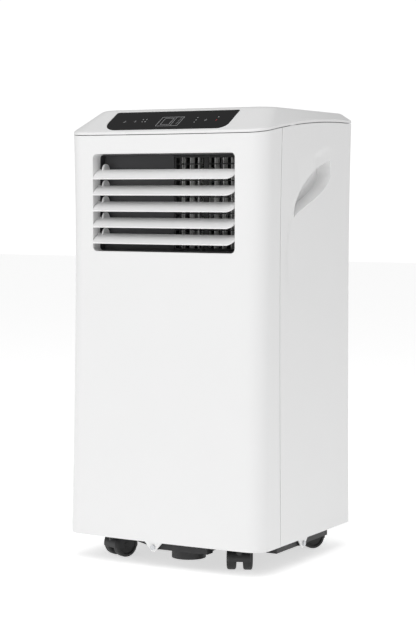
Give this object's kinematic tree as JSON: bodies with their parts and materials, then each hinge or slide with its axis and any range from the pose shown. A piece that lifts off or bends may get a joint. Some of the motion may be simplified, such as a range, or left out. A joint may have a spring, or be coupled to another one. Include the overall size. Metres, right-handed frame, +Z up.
{
  "type": "portable air conditioner",
  "caption": "Upright wheeled room cooler with a louvred front outlet, sloping touch panel, side hand recesses, rear air filter and round hose collar.",
  "frame": {"origin": "floor level under the middle of the whole unit, hose collar included", "axes": "-Y is the front with the louvre, +Y the rear with the hose collar, +Z up"},
  "size_m": [0.3508, 0.3454, 0.7085],
  "materials": {
    "shell_white": "satin moulded ABS, fine grain",
    "overlay_black": "glossy black touch panel",
    "board_green": "solder mask",
    "duct_grey": "matt dark grey plastic",
    "guard_black": "matt black plastic",
    "vane_grey": "light grey plastic",
    "mesh_grey": "woven filter net",
    "base_black": "black powder coat",
    "caster_black": "black nylon",
    "wheel_black": "black tread",
    "steel": "zinc plated",
    "can_black": "black enamel",
    "rubber": "moulded rubber",
    "coil_alu": "aluminium fins",
    "copper": "drawn copper tube",
    "capacitor_alu": "drawn can",
    "pan_white": "moulded foam and plastic",
    "wheel_white": "moulded blower wheel"
  },
  "bodies": {
    "housing": {"front_shell": "shell_white", "rear_shell": "shell_white", "top_lid": "shell_white", "control_overlay": "overlay_black", "control_board": "board_green", "outlet_bezel": "shell_white", "louvre_motor": "steel", "outlet_duct": "duct_grey", "outlet_guard": "guard_black", "lower_grille": "shell_white", "exhaust_collar": "shell_white", "cord_gland": "caster_black", "base_chassis": "base_black", "compressor": "can_black", "accumulator": "can_black", "compressor_grommets": "rubber", "evaporator_coil": "coil_alu", "condenser_coil": "coil_alu", "upper_motor": "steel", "upper_scroll": "duct_grey", "lower_motor": "steel", "lower_scroll": "caster_black", "drain_pan": "pan_white", "refrigerant_pipes": "copper", "control_box": "steel", "run_capacitor": "capacitor_alu", "housing_screws": "steel"},
    "louvre_1": {"louvre_blade_1": "shell_white"},
    "louvre_2": {"louvre_blade_2": "shell_white"},
    "louvre_3": {"louvre_blade_3": "shell_white"},
    "louvre_4": {"louvre_blade_4": "shell_white"},
    "louvre_5": {"louvre_blade_5": "shell_white"},
    "louvre_bar": {"louvre_link": "guard_black"},
    "upright_vane_1": {"vane_1": "vane_grey"},
    "upright_vane_2": {"vane_2": "vane_grey"},
    "upright_vane_3": {"vane_3": "vane_grey"},
    "upright_vane_4": {"vane_4": "vane_grey"},
    "upright_vane_5": {"vane_5": "vane_grey"},
    "upright_vane_6": {"vane_6": "vane_grey"},
    "upright_vane_7": {"vane_7": "vane_grey"},
    "upright_vane_8": {"vane_8": "vane_grey"},
    "vane_bar": {"vane_link": "guard_black"},
    "filter": {"filter_frame": "shell_white", "filter_mesh": "mesh_grey"},
    "upper_drain_cap": {"drain_cap": "shell_white"},
    "lower_drain_plug": {"drain_plug": "rubber"},
    "caster_fl": {"caster_fl_fork": "caster_black"},
    "caster_fl_roller": {"caster_fl_axle": "steel", "caster_fl_wheels": "wheel_black"},
    "caster_fr": {"caster_fr_fork": "caster_black"},
    "caster_fr_roller": {"caster_fr_axle": "steel", "caster_fr_wheels": "wheel_black"},
    "caster_rl": {"caster_rl_fork": "caster_black"},
    "caster_rl_roller": {"caster_rl_axle": "steel", "caster_rl_wheels": "wheel_black"},
    "caster_rr": {"caster_rr_fork": "caster_black"},
    "caster_rr_roller": {"caster_rr_axle": "steel", "caster_rr_wheels": "wheel_black"},
    "cold_blower": {"upper_wheel": "wheel_white"},
    "hot_blower": {"lower_wheel": "caster_black"}
  },
  "joints": [
    {"name": "louvre_1_tilt", "type": "hinge", "parent": "housing", "child": "louvre_1", "pos_m": [0, -0.1495, 0.6115], "axis": [1, 0, 0], "range_deg": [-36, 34]},
    {"name": "louvre_2_tilt", "type": "hinge", "parent": "housing", "child": "louvre_2", "pos_m": [0, -0.1495, 0.5867], "axis": [1, 0, 0], "range_deg": [-36, 34]},
    {"name": "louvre_3_tilt", "type": "hinge", "parent": "housing", "child": "louvre_3", "pos_m": [0, -0.1495, 0.5619], "axis": [1, 0, 0], "range_deg": [-36, 34]},
    {"name": "louvre_4_tilt", "type": "hinge", "parent": "housing", "child": "louvre_4", "pos_m": [0, -0.1495, 0.5371], "axis": [1, 0, 0], "range_deg": [-36, 34]},
    {"name": "louvre_5_tilt", "type": "hinge", "parent": "housing", "child": "louvre_5", "pos_m": [0, -0.1495, 0.5123], "axis": [1, 0, 0], "range_deg": [-36, 34]},
    {"name": "louvre_bar_pivot", "type": "hinge", "parent": "louvre_1", "child": "louvre_bar", "pos_m": [-0.119, -0.1401, 0.60808], "axis": [1, 0, 0], "range_deg": [-34, 36]},
    {"name": "vane_1_turn", "type": "hinge", "parent": "housing", "child": "upright_vane_1", "pos_m": [-0.00335, -0.0935, 0.56135], "axis": [0, 0, 1], "range_deg": [-30, 30]},
    {"name": "vane_2_turn", "type": "hinge", "parent": "housing", "child": "upright_vane_2", "pos_m": [0.01115, -0.0935, 0.56135], "axis": [0, 0, 1], "range_deg": [-30, 30]},
    {"name": "vane_3_turn", "type": "hinge", "parent": "housing", "child": "upright_vane_3", "pos_m": [0.02565, -0.0935, 0.56135], "axis": [0, 0, 1], "range_deg": [-30, 30]},
    {"name": "vane_4_turn", "type": "hinge", "parent": "housing", "child": "upright_vane_4", "pos_m": [0.04015, -0.0935, 0.56135], "axis": [0, 0, 1], "range_deg": [-30, 30]},
    {"name": "vane_5_turn", "type": "hinge", "parent": "housing", "child": "upright_vane_5", "pos_m": [0.05465, -0.0935, 0.56135], "axis": [0, 0, 1], "range_deg": [-30, 30]},
    {"name": "vane_6_turn", "type": "hinge", "parent": "housing", "child": "upright_vane_6", "pos_m": [0.06915, -0.0935, 0.56135], "axis": [0, 0, 1], "range_deg": [-30, 30]},
    {"name": "vane_7_turn", "type": "hinge", "parent": "housing", "child": "upright_vane_7", "pos_m": [0.08365, -0.0935, 0.56135], "axis": [0, 0, 1], "range_deg": [-30, 30]},
    {"name": "vane_8_turn", "type": "hinge", "parent": "housing", "child": "upright_vane_8", "pos_m": [0.09815, -0.0935, 0.56135], "axis": [0, 0, 1], "range_deg": [-30, 30]},
    {"name": "vane_bar_pivot", "type": "hinge", "parent": "upright_vane_1", "child": "vane_bar", "pos_m": [-0.00335, -0.0835, 0.56135], "axis": [0, 0, 1], "range_deg": [-30, 30]},
    {"name": "filter_slide", "type": "slide", "parent": "housing", "child": "filter", "axis": [0, 1, 0], "range_m": [0, 0.06]},
    {"name": "drain_cap_slide", "type": "slide", "parent": "housing", "child": "upper_drain_cap", "axis": [0, 1, 0], "range_m": [0, 0.03]},
    {"name": "drain_plug_slide", "type": "slide", "parent": "housing", "child": "lower_drain_plug", "axis": [0, 1, 0], "range_m": [0, 0.03]},
    {"name": "caster_fl_swivel", "type": "hinge", "parent": "housing", "child": "caster_fl", "pos_m": [-0.113, -0.1225, 0.045], "axis": [0, 0, 1], "continuous": true},
    {"name": "caster_fl_roll", "type": "hinge", "parent": "caster_fl", "child": "caster_fl_roller", "pos_m": [-0.10771, -0.11062, 0.0195], "axis": [0.9135, -0.4067, 0], "continuous": true},
    {"name": "caster_fr_swivel", "type": "hinge", "parent": "housing", "child": "caster_fr", "pos_m": [0.113, -0.1225, 0.045], "axis": [0, 0, 1], "continuous": true},
    {"name": "caster_fr_roll", "type": "hinge", "parent": "caster_fr", "child": "caster_fr_roller", "pos_m": [0.10751, -0.11072, 0.0195], "axis": [0.9063, 0.4226, 0], "continuous": true},
    {"name": "caster_rl_swivel", "type": "hinge", "parent": "housing", "child": "caster_rl", "pos_m": [-0.113, 0.0945, 0.045], "axis": [0, 0, 1], "continuous": true},
    {"name": "caster_rl_roll", "type": "hinge", "parent": "caster_rl", "child": "caster_rl_roller", "pos_m": [-0.11745, 0.10672, 0.0195], "axis": [0.9397, 0.342, 0], "continuous": true},
    {"name": "caster_rr_swivel", "type": "hinge", "parent": "housing", "child": "caster_rr", "pos_m": [0.113, 0.0945, 0.045], "axis": [0, 0, 1], "continuous": true},
    {"name": "caster_rr_roll", "type": "hinge", "parent": "caster_rr", "child": "caster_rr_roller", "pos_m": [0.12046, 0.10515, 0.0195], "axis": [0.8192, -0.5736, 0], "continuous": true},
    {"name": "cold_blower_spin", "type": "hinge", "parent": "housing", "child": "cold_blower", "pos_m": [-0.05, -0.04, 0.56135], "axis": [0, 1, 0], "continuous": true},
    {"name": "hot_blower_spin", "type": "hinge", "parent": "housing", "child": "hot_blower", "pos_m": [-0.045, 0.07, 0.165], "axis": [0, 1, 0], "continuous": true}
  ],
  "couplings": [
    {"joint": "louvre_2_tilt", "follows": "louvre_1_tilt", "ratio": 1},
    {"joint": "louvre_3_tilt", "follows": "louvre_1_tilt", "ratio": 1},
    {"joint": "louvre_4_tilt", "follows": "louvre_1_tilt", "ratio": 1},
    {"joint": "louvre_5_tilt", "follows": "louvre_1_tilt", "ratio": 1},
    {"joint": "louvre_bar_pivot", "follows": "louvre_1_tilt", "ratio": -1},
    {"joint": "vane_2_turn", "follows": "vane_1_turn", "ratio": 1},
    {"joint": "vane_3_turn", "follows": "vane_1_turn", "ratio": 1},
    {"joint": "vane_4_turn", "follows": "vane_1_turn", "ratio": 1},
    {"joint": "vane_5_turn", "follows": "vane_1_turn", "ratio": 1},
    {"joint": "vane_6_turn", "follows": "vane_1_turn", "ratio": 1},
    {"joint": "vane_7_turn", "follows": "vane_1_turn", "ratio": 1},
    {"joint": "vane_8_turn", "follows": "vane_1_turn", "ratio": 1},
    {"joint": "vane_bar_pivot", "follows": "vane_1_turn", "ratio": -1}
  ]
}
